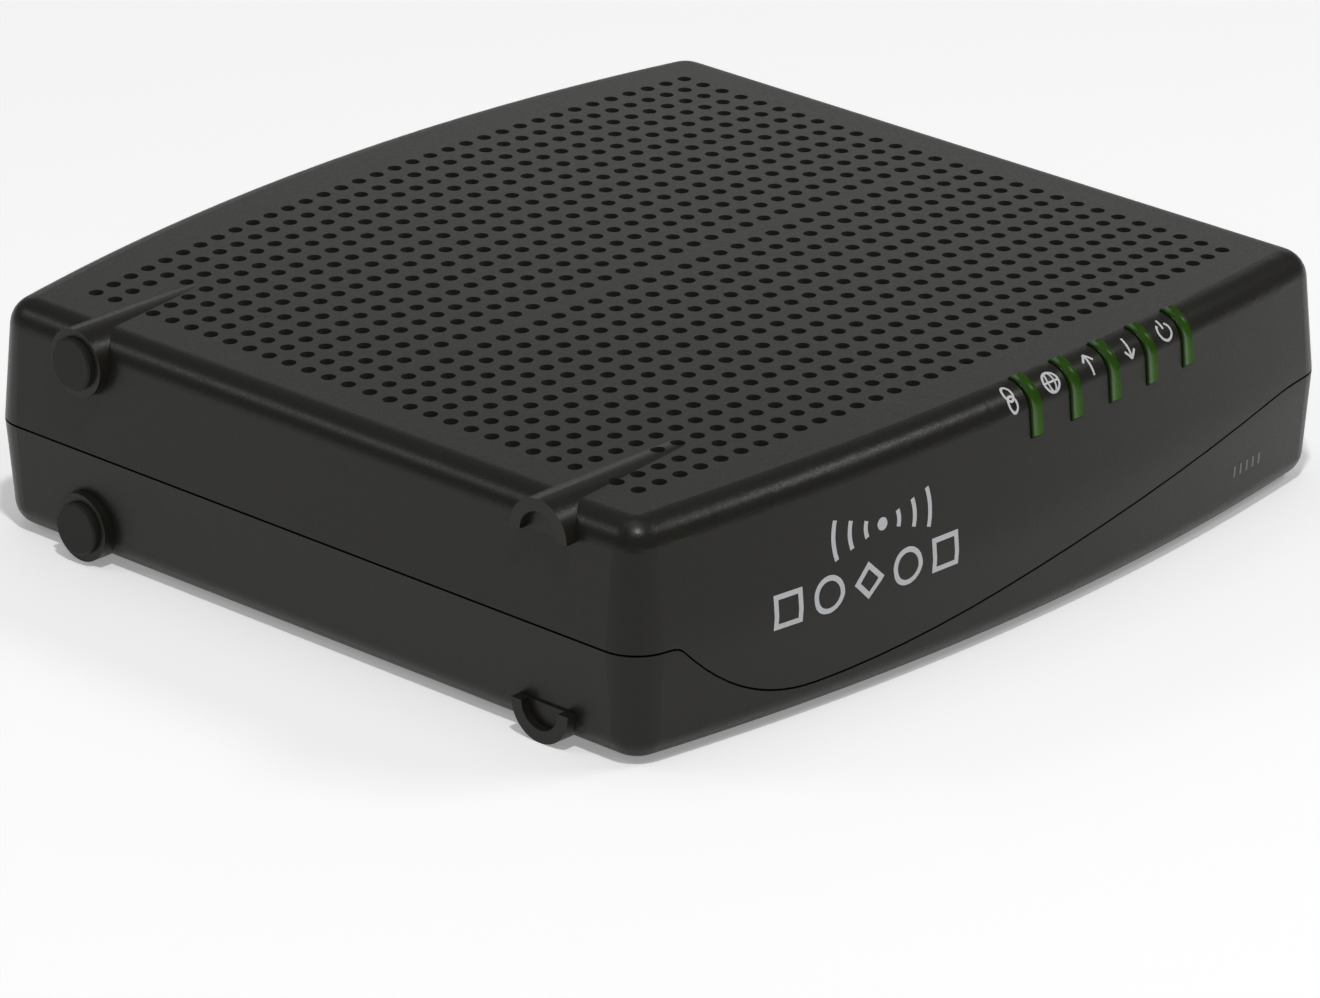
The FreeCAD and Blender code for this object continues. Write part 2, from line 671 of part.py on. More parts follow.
def heatsink():
    half, base, fin_t, fins = SINK_SIZE / 2, BOARD_TOP + CHIP_H + PAD_H, 1.2, 9
    plate = block(SINK_X - half, SINK_X + half, SINK_Y - half, SINK_Y + half, base, base + SINK_BASE_H)
    pieces = [plate]
    for i in range(fins):
        x = SINK_X - half + i * (SINK_SIZE - fin_t) / (fins - 1)
        pieces.append(block(x, x + fin_t, SINK_Y - half, SINK_Y + half, base, base + SINK_H))
    sink = fuse_all(pieces)
    notches = [rod(3.2, (x, y, base + SINK_BASE_H), SINK_H) for x, y in sink_pin_places()]
    holes = [rod(SINK_PIN_R, (x, y, base - 1), SINK_H + 2) for x, y in sink_pin_places()]
    return sink.cut(notches + holes)


def sink_pin_places():
    reach = SINK_SIZE / 2 - 3.4
    return [(SINK_X - reach, SINK_Y + reach), (SINK_X + reach, SINK_Y - reach)]


def heatsink_pins():
    seat = BOARD_TOP + CHIP_H + PAD_H + SINK_BASE_H
    pins = []
    for x, y in sink_pin_places():
        shank = rod(SINK_PIN_R, (x, y, BOARD_Z - 1.5), seat - BOARD_Z + 1.5)
        pins.append(shank.fuse(rod(2.8, (x, y, seat), 5.0)))
    return Part.makeCompound(pins)


def tuner_shield_frame():
    """Sheet-metal fence soldered to the board, with one cross wall."""
    x0, x1, y0, y1 = TUNER
    z0, z1, t = BOARD_TOP, BOARD_TOP + TUNER_H, TUNER_SHEET
    frame = block(x0, x1, y0, y1, z0, z1)
    middle = (y0 + y1) / 2
    rooms = [block(x0 + t, x1 - t, y0 + t, middle - t / 2, z0, z1),
             block(x0 + t, x1 - t, middle + t / 2, y1 - t, z0, z1)]
    return frame.cut(rooms)


def tuner_shield_lid():
    x0, x1, y0, y1 = TUNER
    z = BOARD_TOP + TUNER_H
    return block(x0, x1, y0, y1, z, z + TUNER_SHEET)


def tuner_chip():
    return chip((TUNER[0] + TUNER[1]) / 2, TUNER[2] + 9, 9, 9, 1.0)


def memory_chip():
    return chip(22, -14, 10, 12.5, 1.1)


def flash_chip():
    return chip(24, -36, 8, 6, 1.7)


def electrolytic_capacitors():
    cans = []
    for x, y, r, height in ((-54, 18, 4, 11.5), (-54, 30, 4, 11.5), (-44, 24, 4, 11.5), (-24, 52, 3.1, 7.5)):
        can = rod(r, (x, y, BOARD_TOP), height)
        cans.append(can.makeFillet(0.5, [e for e in can.Edges if e.BoundBox.ZMin > BOARD_TOP + 1]))
    return Part.makeCompound(cans)


def power_inductors():
    return Part.makeCompound([chip(x, y, 10, 10, 4.2, 1.2) for x, y in ((-54, 4), (-40, 6))])


def voltage_regulators():
    return Part.makeCompound([chip(x, y, 5, 6, 1.6) for x, y in ((-52, -10), (-42, -8), (-48, -24))])


def crystal():
    """Metal can with round ends."""
    x, y, width, length, height = 9.0, -40.0, 4.8, 11.2, 3.5
    can = block(x - width / 2, x + width / 2, y - length / 2, y + length / 2, BOARD_TOP, BOARD_TOP + height)
    return can.makeFillet(width / 2 - 0.2, [e for e in can.Edges if e.BoundBox.ZLength > height - 0.01])


def chip_parts():
    """Small surface-mount resistors and capacitors in rows."""
    size_x, size_y, height, spacing = 1.0, 2.0, 0.7, 3.0
    parts = []
    for x0, y, count in ((14, -2, 6), (14, -26, 7), (-46, -32, 8), (-46, -38, 8), (36, -20, 6), (0, -48, 9)):
        for i in range(count):
            x = x0 + i * spacing
            parts.append(block(x, x + size_x, y, y + size_y, BOARD_TOP, BOARD_TOP + height))
    return Part.makeCompound(parts)


# ---------------------------------------------------------------- everything, in the finished frame
def build():
    outer = outer_form()
    hollow = cavity()
    raised = offset_form(PIPE_PROUD)
    layer = raised.cut(offset_form(-PIPE_T))
    pieces = {
        "top_shell": top_shell(outer, hollow, above_parting(SEAM / 2)),
        "bottom_shell": bottom_shell(outer, hollow, above_parting(-SEAM / 2)),
        "rubber_foot_upper": rubber_disc(RING_Z_TOP),
        "rubber_foot_lower": rubber_disc(RING_Z_LOW),
    }
    for index, name in enumerate(PIPE_NAMES):
        pieces["light_pipe_" + name] = light_pipe(index, raised.Shells[0], layer, outer)
    for make in (status_leds, light_shroud, shell_screws, rating_label, rear_panel, power_jack_body,
                 power_jack_pin, power_jack_contact, ethernet_housing, ethernet_contacts, ethernet_shield,
                 ethernet_magnetics, reset_switch, reset_button, coax_body, coax_insulator, coax_contact,
                 main_board, board_screws, modem_chip, thermal_pad, heatsink, heatsink_pins,
                 tuner_shield_frame, tuner_shield_lid, tuner_chip, memory_chip, flash_chip,
                 electrolytic_capacitors, power_inductors, voltage_regulators, crystal, chip_parts):
        pieces[make.__name__] = make()
    return pieces


os.makedirs("parts", exist_ok=True)
for node, shape in build().items():
    shape.translate(ORIGIN_SHIFT)
    if not shape.isValid():
        print("not valid:", node)
    shape.exportStep(f"parts/{node}.step")
    print(f"{node:26s} {len(shape.Solids):3d} solids {shape.Volume:10.1f} mm3")
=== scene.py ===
"""Looks of the cable modem: camera, light, materials, printed marks and connector detail.

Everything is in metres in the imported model's frame: +Z up through the vents, -Y the front face with
the status lights, -X the side with the foot rings, +Y the connector side.
"""
import json
import math

import bmesh
import bpy
from mathutils import Matrix, Vector
from mathutils.bvhtree import BVHTree


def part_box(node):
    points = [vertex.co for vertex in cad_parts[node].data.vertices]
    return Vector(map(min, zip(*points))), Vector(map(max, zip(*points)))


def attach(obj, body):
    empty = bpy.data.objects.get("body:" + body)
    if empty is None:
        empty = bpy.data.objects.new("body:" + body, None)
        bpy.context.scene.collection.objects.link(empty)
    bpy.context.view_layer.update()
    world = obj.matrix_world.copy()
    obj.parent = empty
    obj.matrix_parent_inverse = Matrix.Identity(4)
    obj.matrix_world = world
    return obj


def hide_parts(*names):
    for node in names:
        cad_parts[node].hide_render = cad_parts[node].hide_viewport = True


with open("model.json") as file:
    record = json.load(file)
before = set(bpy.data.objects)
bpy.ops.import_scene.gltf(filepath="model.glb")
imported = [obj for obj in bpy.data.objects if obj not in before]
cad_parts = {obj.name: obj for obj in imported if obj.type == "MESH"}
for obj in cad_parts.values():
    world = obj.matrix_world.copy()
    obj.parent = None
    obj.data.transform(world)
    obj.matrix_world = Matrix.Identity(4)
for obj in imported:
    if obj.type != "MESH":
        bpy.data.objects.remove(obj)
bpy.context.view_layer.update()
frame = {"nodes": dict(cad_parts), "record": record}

MM = 0.001
NODES = frame["nodes"]
BODY = "modem"
SCENE = bpy.context.scene


def millimetres(*values):
    return Vector(values) * MM


# ---------------------------------------------------------------- camera
CAMERA_TARGET = millimetres(-4.85, -4.8, 3.0)
CAMERA_DISTANCE = 1257.5 * MM
CAMERA_AZIMUTH = math.radians(-46.68)
CAMERA_ELEVATION = math.radians(22.81)
CAMERA_ROLL = math.radians(-0.09)
CAMERA_LENS, SENSOR_WIDTH = 220.9, 36.0      # in millimetres
CAMERA_CLIP = (0.05, 50.0)


def make_camera():
    data = bpy.data.cameras.new("camera")
    data.lens = CAMERA_LENS
    data.sensor_width = SENSOR_WIDTH
    data.clip_start, data.clip_end = CAMERA_CLIP
    camera = bpy.data.objects.new("camera", data)
    SCENE.collection.objects.link(camera)
    level = math.cos(CAMERA_ELEVATION)
    back = Vector((math.sin(CAMERA_AZIMUTH) * level, -math.cos(CAMERA_AZIMUTH) * level,
                   math.sin(CAMERA_ELEVATION)))
    turn = (-back).to_track_quat("-Z", "Y").to_matrix().to_4x4() @ Matrix.Rotation(CAMERA_ROLL, 4, "Z")
    camera.matrix_world = Matrix.Translation(CAMERA_TARGET + back * CAMERA_DISTANCE) @ turn
    SCENE.camera = camera


# ---------------------------------------------------------------- stage and light
FLOOR_SIZE = 6.0
FLOOR_GREY = 0.90
# light that the floor and the room give off by themselves
FLOOR_GLOW = 0.26
ROOM_GLOW = 0.16
# name, direction towards the light, distance in metres, width and height in metres, power in watts
LIGHTS = (
    ("rear_low_box", (0.67, 0.63, 0.30), 1.6, (1.3, 0.55), 1.15),
    ("rear_left_strip", (-0.50, 0.63, 0.59), 1.5, (0.55, 0.22), 1.6),
    ("right_strip", (0.54, -0.45, 0.71), 1.5, (0.50, 0.24), 3.6),
    ("corner_lamp", (-0.25, -0.29, 0.92), 1.4, (0.08, 0.08), 7.5),
    ("overhead", (0.0, 0.15, 1.0), 1.7, (1.0, 1.0), 3.4),
)


def make_stage():
    mesh = bpy.data.meshes.new("floor")
    form = bmesh.new()
    bmesh.ops.create_grid(form, x_segments=1, y_segments=1, size=FLOOR_SIZE)
    form.to_mesh(mesh)
    form.free()
    floor = bpy.data.objects.new("floor", mesh)
    SCENE.collection.objects.link(floor)
    paint, _, _ = new_material("floor_paint", Base_Color=(FLOOR_GREY, FLOOR_GREY, FLOOR_GREY, 1),
                               Roughness=0.9, Specular_IOR_Level=0.1,
                               Emission_Color=(1, 1, 1, 1), Emission_Strength=FLOOR_GLOW)
    mesh.materials.append(paint)


def area_light(name, direction, distance, size, power):
    data = bpy.data.lights.new(name, "AREA")
    data.shape = "RECTANGLE"
    data.size, data.size_y = size
    data.energy = power
    light = bpy.data.objects.new(name, data)
    SCENE.collection.objects.link(light)
    towards = Vector(direction).normalized()
    light.location = towards * distance
    light.rotation_euler = (-towards).to_track_quat("-Z", "Y").to_euler()


def make_light():
    world = bpy.data.worlds.new("studio")
    world.use_nodes = True
    background = world.node_tree.nodes["Background"]
    background.inputs["Color"].default_value = (1, 1, 1, 1)
    background.inputs["Strength"].default_value = ROOM_GLOW
    SCENE.world = world
    for light in LIGHTS:
        area_light(*light)
    SCENE.view_settings.view_transform = "Standard"


# ---------------------------------------------------------------- material building blocks
def new_material(name, **sockets):
    """Material with a Principled shader; underscores in socket names stand for spaces."""
    made = bpy.data.materials.new(name)
    made.use_nodes = True
    tree = made.node_tree
    shader = tree.nodes["Principled BSDF"]
    for socket, value in sockets.items():
        shader.inputs[socket.replace("_", " ")].default_value = value
    return made, tree, shader


def node(tree, kind, inputs=(), **settings):
    """Node of one kind with its settings and its inputs, which are values or other nodes' outputs."""
    made = tree.nodes.new(kind)
    for name, value in settings.items():
        setattr(made, name, value)
    for name, value in dict(inputs).items():
        if isinstance(value, bpy.types.NodeSocket):
            tree.links.new(value, made.inputs[name])
        else:
            made.inputs[name].default_value = value
    return made


def place(tree):
    """Coordinates in metres in the model's frame."""
    return node(tree, "ShaderNodeTexCoord").outputs["Object"]


def noise(tree, size_mm, detail=2.0, roughness=0.5, vector=None):
    """Noise whose features are about size_mm across."""
    inputs = {"Vector": vector or place(tree), "Scale": 1 / (size_mm * MM), "Detail": detail,
              "Roughness": roughness}
    return node(tree, "ShaderNodeTexNoise", inputs).outputs["Fac"]


def ramp(tree, factor, stops):
    """Colour ramp; stops are (position, grey or colour)."""
    made = node(tree, "ShaderNodeValToRGB", {"Fac": factor})
    points = made.color_ramp.elements
    while len(points) < len(stops):
        points.new(0.5)
    for point, (position, colour) in zip(points, stops):
        point.position = position
        point.color = (*colour, 1) if isinstance(colour, tuple) else (colour, colour, colour, 1)
    return made.outputs["Color"]


def mix(tree, factor, first, second):
    inputs = {"Factor": factor, "A": first, "B": second}
    made = tree.nodes.new("ShaderNodeMix")
    made.data_type = "RGBA"
    for name, value in inputs.items():
        socket = [s for s in made.inputs if s.name == name and s.enabled][0]
        if isinstance(value, bpy.types.NodeSocket):
            tree.links.new(value, socket)
        else:
            socket.default_value = (*value, 1) if isinstance(value, tuple) else value
    return [s for s in made.outputs if s.enabled][0]


def math_node(tree, operation, *values):
    return node(tree, "ShaderNodeMath", dict(enumerate(values)), operation=operation).outputs[0]


def split(tree, vector):
    """X, Y and Z of a vector."""
    return node(tree, "ShaderNodeSeparateXYZ", {"Vector": vector}).outputs[:3]


def surface_normal(tree):
    return node(tree, "ShaderNodeNewGeometry").outputs["Normal"]


def normal_with(tree, x, y, z):
    whole = node(tree, "ShaderNodeCombineXYZ", {"X": x, "Y": y, "Z": z}).outputs[0]
    return node(tree, "ShaderNodeVectorMath", {0: whole}, operation="NORMALIZE").outputs[0]


def scale_to(tree, value, start, end, first=0.0, last=1.0, kind="SMOOTHSTEP"):
    """Value mapped from start..end to first..last, held beyond them."""
    inputs = {"Value": value, "From Min": start, "From Max": end, "To Min": first, "To Max": last}
    return node(tree, "ShaderNodeMapRange", inputs, interpolation_type=kind).outputs["Result"]


def bump(tree, shader, height, depth_mm, strength=1.0, after=None):
    """Adds relief to the shader's normal; after is the normal that it is laid on."""
    inputs = {"Height": height, "Distance": depth_mm * MM, "Strength": strength}
    if after is not None:
        inputs["Normal"] = after
    normal = node(tree, "ShaderNodeBump", inputs).outputs["Normal"]
    tree.links.new(normal, shader.inputs["Normal"])
    return normal


def grained(name, colour, spread, grain_mm, depth_mm, rough, **sockets):
    """Moulded or cast surface: fine grain in the bump and roughness, slow drift in the colour."""
    made, tree, shader = new_material(name, **sockets)
    grain = noise(tree, grain_mm, 3.0, 0.6)
    drift = noise(tree, 35.0, 2.0)
    low = tuple(c * (1 - spread) for c in colour)
    high = tuple(c * (1 + spread) for c in colour)
    tree.links.new(mix(tree, mix_factor(tree, grain, drift), low, high), shader.inputs["Base Color"])
    tree.links.new(ramp(tree, grain, [(0.3, rough[0]), (0.7, rough[1])]), shader.inputs["Roughness"])
    bump(tree, shader, grain, depth_mm)
    return made


def mix_factor(tree, first, second):
    """Mean of two factors."""
    return math_node(tree, "MULTIPLY", math_node(tree, "ADD", first, second), 0.5)


# ---------------------------------------------------------------- one material per slot
WIDEST_Z, WIDEST_BLEND = 18.1 * MM, 5.0 * MM
# parts of a surface normal
WALL_LEAN = (-0.082, 0.082)           # Z on the walls below and above their widest line
FRONT_Y = (-0.75, -0.9)               # Y where the front begins and where it is sure
UPRIGHT_Z = (0.25, 0.15)              # Z where an upright wall begins and where it is sure
# places, each from where the vents' walls begin to where they are sure; the vents' walls there carry painted
# light
VENT_WALL_Z = (35.4 * MM, 35.6 * MM)
VENT_REACH_X = (72.0 * MM, 71.0 * MM)


def upright(tree, normal_z):
    return scale_to(tree, math_node(tree, "ABSOLUTE", normal_z), *UPRIGHT_Z)


def eased_front(tree):
    """Normal that turns gently where the two drafts of the front meet, instead of at a line."""
    x, y, z = split(tree, surface_normal(tree))
    _, _, height = split(tree, place(tree))
    lean = scale_to(tree, height, WIDEST_Z - WIDEST_BLEND, WIDEST_Z + WIDEST_BLEND, *WALL_LEAN)
    on_front = math_node(tree, "MULTIPLY", scale_to(tree, y, *FRONT_Y), upright(tree, z))
    # inputs 0, 2 and 3 are the factor and the two numbers to mix
    eased_z = node(tree, "ShaderNodeMix", {0: on_front, 2: z, 3: lean}).outputs[0]
    return normal_with(tree, x, y, eased_z)


def vent_wall_painted_light(tree):
    """1 on upright walls just below the top, nearly all of them the vents', and 0 elsewhere: where the paler
    colour of painted light goes.
    """
    _, _, z = split(tree, surface_normal(tree))
    x, _, height = split(tree, place(tree))
    high = scale_to(tree, height, *VENT_WALL_Z)
    inside = scale_to(tree, math_node(tree, "ABSOLUTE", x), *VENT_REACH_X)
    return math_node(tree, "MULTIPLY", math_node(tree, "MULTIPLY", high, inside), upright(tree, z))


def housing_plastic():
    """Charcoal ABS with a fine spark-eroded texture, painted paler on the walls of the vents as painted light
    on them.
    """
    made, tree, shader = new_material("housing_plastic", Specular_IOR_Level=0.24)
    fine = noise(tree, 0.34, 2.0, 0.7)
    pebble = noise(tree, 0.9, 2.0, 0.5)
    drift = noise(tree, 45.0, 2.0)
    tone = mix(tree, fine, (0.0110, 0.0105, 0.0082), (0.0160, 0.0152, 0.0120))
    tone = mix(tree, drift, tone, (0.0135, 0.0129, 0.0102))
    # the paler colour on the vents' walls is painted light, standing in for light that reaches into the vents
    tree.links.new(mix(tree, vent_wall_painted_light(tree), tone, (0.036, 0.035, 0.032)), shader.inputs["Base Color"])
    tree.links.new(ramp(tree, fine, [(0.3, 0.26), (0.7, 0.40)]), shader.inputs["Roughness"])
    first = bump(tree, shader, pebble, 0.012, after=eased_front(tree))
    bump(tree, shader, fine, 0.018, after=first)
    return made


PIPE_BEND_Z = (32.5 * MM, 37.5 * MM)    # the front of a pipe ends and its top begins
PIPE_FIRST_X, PIPE_PITCH, PIPE_HALF_W = 3.35 * MM, 9.3 * MM, 1.25 * MM
PIPE_ROUNDING = -0.55    # below zero: a clear bar looks brightest on the side away from the light


def rounded_pipe(tree):
    """Normal that leans to either side across each pipe, as the light in a half-round clear bar does."""
    x, y, z = split(tree, surface_normal(tree))
    place_x, _, _ = split(tree, place(tree))
    from_first = math_node(tree, "SUBTRACT", place_x, PIPE_FIRST_X)
    across = math_node(tree, "WRAP", from_first, PIPE_PITCH / 2, -PIPE_PITCH / 2)
    lean = scale_to(tree, across, -PIPE_HALF_W, PIPE_HALF_W, -PIPE_ROUNDING, PIPE_ROUNDING, "LINEAR")
    return normal_with(tree, math_node(tree, "ADD", x, lean), y, z)


def light_pipe_clear():
    """Smooth green acrylic: palest down the front, deeper on the bend, and deepest at the side faces, where
    painted shade darkens them.
    """
    made, tree, shader = new_material("light_pipe_clear", Subsurface_Weight=0.15,
                                      Subsurface_Scale=0.0008, Specular_IOR_Level=0.12)
    streak = noise(tree, 1.8, 3.0, 0.6)
    _, _, height = split(tree, place(tree))
    facing_x, _, _ = split(tree, surface_normal(tree))
    front = mix(tree, streak, (0.027, 0.092, 0.004), (0.040, 0.118, 0.008))
    bend = mix(tree, streak, (0.012, 0.048, 0.002), (0.028, 0.080, 0.006))
    on_bend = scale_to(tree, height, *PIPE_BEND_Z)
    # painted shade: the side faces of each pipe are darkened in colour
    side_face_painted_shade = ramp(tree, math_node(tree, "ABSOLUTE", facing_x), [(0.3, 0.0), (0.8, 1.0)])
    tone = mix(tree, side_face_painted_shade, mix(tree, on_bend, front, bend), (0.008, 0.024, 0.002))
    tree.links.new(tone, shader.inputs["Base Color"])
    tree.links.new(ramp(tree, streak, [(0.3, 0.16), (0.7, 0.26)]), shader.inputs["Roughness"])
    bump(tree, shader, streak, 0.008, after=rounded_pipe(tree))
    return made


def brushed(name, colour, direction, rough):
    """Metal with fine streaks; direction stretches the noise along that axis."""
    made, tree, shader = new_material(name, Metallic=1.0)
    stretched = node(tree, "ShaderNodeMapping", {"Vector": place(tree), "Scale": direction}).outputs[0]
    streak = noise(tree, 0.15, 3.0, 0.6, stretched)
    cloud = noise(tree, 4.0, 3.0)
    low = tuple(c * 0.82 for c in colour)
    tree.links.new(mix(tree, mix_factor(tree, streak, cloud), low, colour), shader.inputs["Base Color"])
    tree.links.new(ramp(tree, streak, [(0.3, rough[0]), (0.7, rough[1])]), shader.inputs["Roughness"])
    bump(tree, shader, streak, 0.003)
    return made


def circuit_board():
    """Solder mask over tracks: a brick pattern raises thin lines in a second green."""
    made, tree, shader = new_material("circuit_board", Coat_Weight=0.4, Coat_Roughness=0.2)
    inputs = {"Vector": place(tree), "Scale": 180.0, "Mortar Size": 0.03, "Color1": (1, 1, 1, 1),
              "Color2": (0.7, 0.7, 0.7, 1), "Mortar": (0, 0, 0, 1)}
    tracks = node(tree, "ShaderNodeTexBrick", inputs).outputs["Fac"]
    patches = ramp(tree, noise(tree, 14.0, 1.0), [(0.45, 0.0), (0.5, 1.0)])
    lines = math_node(tree, "MULTIPLY", tracks, patches)
    mask, track = (0.004, 0.040, 0.012), (0.012, 0.095, 0.030)
    tree.links.new(mix(tree, lines, mask, track), shader.inputs["Base Color"])
    tree.links.new(ramp(tree, noise(tree, 2.0), [(0.3, 0.3), (0.7, 0.42)]), shader.inputs["Roughness"])
    bump(tree, shader, lines, 0.03)
    return made


def heatsink_metal():
    made, tree, shader = new_material("heatsink_metal", Metallic=0.7)
    stretched = node(tree, "ShaderNodeMapping", {"Vector": place(tree), "Scale": (1, 0.05, 1)}).outputs[0]
    streak = noise(tree, 0.3, 3.0, 0.6, stretched)
    tone = mix(tree, streak, (0.015, 0.015, 0.016), (0.035, 0.035, 0.037))
    tree.links.new(tone, shader.inputs["Base Color"])
    tree.links.new(ramp(tree, streak, [(0.3, 0.38), (0.7, 0.55)]), shader.inputs["Roughness"])
    bump(tree, shader, streak, 0.006)
    return made


def print_ink(name, colour, metallic=0.0):
    """Screen-printed ink: slightly uneven edge tone and a dry sheen."""
    made, tree, shader = new_material(name, Metallic=metallic)
    speckle = noise(tree, 0.25, 3.0, 0.7)
    low = tuple(c * 0.86 for c in colour)
    tree.links.new(mix(tree, speckle, low, colour), shader.inputs["Base Color"])
    tree.links.new(ramp(tree, speckle, [(0.3, 0.38), (0.7, 0.55)]), shader.inputs["Roughness"])
    bump(tree, shader, speckle, 0.004)
    return made


DRAWN_SLOTS = (housing_plastic, light_pipe_clear, circuit_board, heatsink_metal)
# colour, its spread, grain in mm, the grain's depth in mm, roughness from and to
GRAINED_SLOTS = {
    "foot_rubber": ((0.0125, 0.0138, 0.0115), 0.1, 0.3, 0.008, (0.5, 0.62)),
    "led_lens": ((0.55, 0.62, 0.50), 0.1, 0.5, 0.002, (0.15, 0.25)),
    "black_plastic": ((0.016, 0.016, 0.018), 0.15, 0.4, 0.008, (0.32, 0.48)),
    "label_film": ((0.62, 0.62, 0.60), 0.04, 0.8, 0.002, (0.35, 0.45)),
    "chip_epoxy": ((0.020, 0.020, 0.022), 0.2, 0.15, 0.006, (0.45, 0.6)),
    "button_plastic": ((0.55, 0.55, 0.53), 0.05, 0.4, 0.004, (0.35, 0.5)),
    "insulator_plastic": ((0.66, 0.65, 0.60), 0.06, 0.6, 0.004, (0.4, 0.5)),
    "thermal_silicone": ((0.22, 0.26, 0.36), 0.1, 0.4, 0.01, (0.6, 0.7)),
    "capacitor_sleeve": ((0.010, 0.014, 0.050), 0.15, 0.8, 0.004, (0.22, 0.32)),
    "ceramic_chip": ((0.24, 0.19, 0.14), 0.3, 0.6, 0.004, (0.4, 0.55)),
}
# what two of those set besides
MORE_SOCKETS = {"foot_rubber": {"Specular_IOR_Level": 0.22}, "capacitor_sleeve": {"Coat_Weight": 0.3}}
# colour, stretch of the streaks along x, y and z, roughness from and to
BRUSHED_SLOTS = {
    "screw_steel": ((0.42, 0.42, 0.43), (1, 1, 0.3), (0.22, 0.38)),
    "nickel": ((0.60, 0.57, 0.50), (1, 0.15, 1), (0.16, 0.30)),
    "gold_contact": ((0.83, 0.58, 0.22), (1, 0.1, 1), (0.15, 0.28)),
    "tin_plate": ((0.58, 0.58, 0.58), (0.1, 1, 1), (0.22, 0.36)),
}


def slot_materials():
    made = {make.__name__: make() for make in DRAWN_SLOTS}
    for name, settings in GRAINED_SLOTS.items():
        made[name] = grained(name, *settings, **MORE_SOCKETS.get(name, {}))
    for name, settings in BRUSHED_SLOTS.items():
        made[name] = brushed(name, *settings)
    return made


def paint_cad_nodes():
    """Gives every CAD node the material of its slot; returns the materials by slot."""
    made = slot_materials()
    for part in frame["record"]["subparts"]:
        cad_node = NODES[part["node"]]
        if not cad_node.material_slots:
            cad_node.data.materials.append(None)
        for slot in cad_node.material_slots:
            slot.material = made[part["material_slot"]]
    return made


# ---------------------------------------------------------------- mesh helpers
CRISP_ANGLE = math.radians(40)


def finish_piece(form, name, material):
    """Turns a bmesh into a piece of the modem, shaded smooth except at its crisp edges."""
    for face in form.faces:
        face.smooth = True
    for edge in form.edges:
        edge.smooth = len(edge.link_faces) == 2 and edge.calc_face_angle() < CRISP_ANGLE
    mesh = bpy.data.meshes.new(name)
    form.to_mesh(mesh)
    form.free()
    mesh.materials.append(material)
    piece = bpy.data.objects.new(name, mesh)
    SCENE.collection.objects.link(piece)
    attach(piece, BODY)
    return piece


CIRCLE = 40     # corners that pass for a circle


class Print:
    """Ink laid on a CAD surface. Flat drawings in millimetres are cast along `inward` on to the node."""
    LIFT = 0.03 * MM
    REACH = 60 * MM
    DOT_FILL = 0.98     # the rest of a dot's radius is a pinhole in its middle

    def __init__(self, node_name, centre, right, up):
        self.centre, self.right, self.up = Vector(centre), Vector(right), Vector(up)
        self.inward = self.up.cross(self.right)
        self.tree = BVHTree.FromObject(NODES[node_name], bpy.context.evaluated_depsgraph_get())
        self.form = bmesh.new()

    def on_surface(self, x, y):
        """The drawing's point (x, y) on the surface, lifted by the ink's thickness."""
        start = self.centre + self.right * (x * MM) + self.up * (y * MM) - self.inward * self.REACH
        hit, normal, _, _ = self.tree.ray_cast(start, self.inward)
        if hit is None:
            raise ValueError("the drawing runs off the surface")
        return hit + normal * self.LIFT

    def strip(self, left, right):
        """Fills between two lines of points, drawn side by side."""
        a = [self.form.verts.new(self.on_surface(*p)) for p in left]
        b = [self.form.verts.new(self.on_surface(*p)) for p in right]
        for i in range(len(a) - 1):
            self.form.faces.new((a[i], a[i + 1], b[i + 1], b[i]))

    def stroke(self, points, width):
        """Line of even or varying width through the points; width is a number or a function of 0 to 1."""
        left, right = [], []
        for i, (x, y) in enumerate(points):
            x0, y0 = points[max(i - 1, 0)]
            x1, y1 = points[min(i + 1, len(points) - 1)]
            length = math.hypot(x1 - x0, y1 - y0) or 1.0
            half = (width(i / (len(points) - 1)) if callable(width) else width) / 2
            nx, ny = -(y1 - y0) / length * half, (x1 - x0) / length * half
            left.append((x + nx, y + ny))
            right.append((x - nx, y - ny))
        self.strip(left, right)

    def band(self, outer, inner):
        """Fills between two closed lines of points."""
        self.strip(outer + outer[:1], inner + inner[:1])

    def shape(self, centre, reach, width, corners, turn=0.0):
        """Outline of a regular polygon, or of a circle when it has many corners."""
        steps = CIRCLE // corners

        def outline(radius):
            angles = [math.radians(turn) + 2 * math.pi * i / corners for i in range(corners + 1)]
            tips = [(centre[0] + radius * math.cos(a), centre[1] + radius * math.sin(a)) for a in angles]
            return [(x0 + (x1 - x0) * k / steps, y0 + (y1 - y0) * k / steps)
                    for (x0, y0), (x1, y1) in zip(tips, tips[1:]) for k in range(steps)]

        self.band(outline(reach), outline(reach - width / math.cos(math.pi / corners)))

    def dot(self, centre, radius):
        self.shape(centre, radius, radius * self.DOT_FILL, CIRCLE)

    def line(self, start, end, width, steps=8):
        points = [(start[0] + (end[0] - start[0]) * i / steps, start[1] + (end[1] - start[1]) * i / steps)
                  for i in range(steps + 1)]
        self.stroke(points, width)

    def arc(self, centre, radii, turn, width, steps=28):
        """Part of an ellipse; turn is (from, to) in degrees."""
        points = []
        for i in range(steps + 1):
            angle = math.radians(turn[0] + (turn[1] - turn[0]) * i / steps)
            points.append((centre[0] + radii[0] * math.cos(angle), centre[1] + radii[1] * math.sin(angle)))
        self.stroke(points, width)

    def piece(self, name, material, slot):
        bmesh.ops.recalc_face_normals(self.form, faces=self.form.faces)
        outward = -self.inward
        flipped = [f for f in self.form.faces if f.normal.dot(outward) < 0]
        bmesh.ops.reverse_faces(self.form, faces=flipped)
        return finish_piece(self.form, name, material)


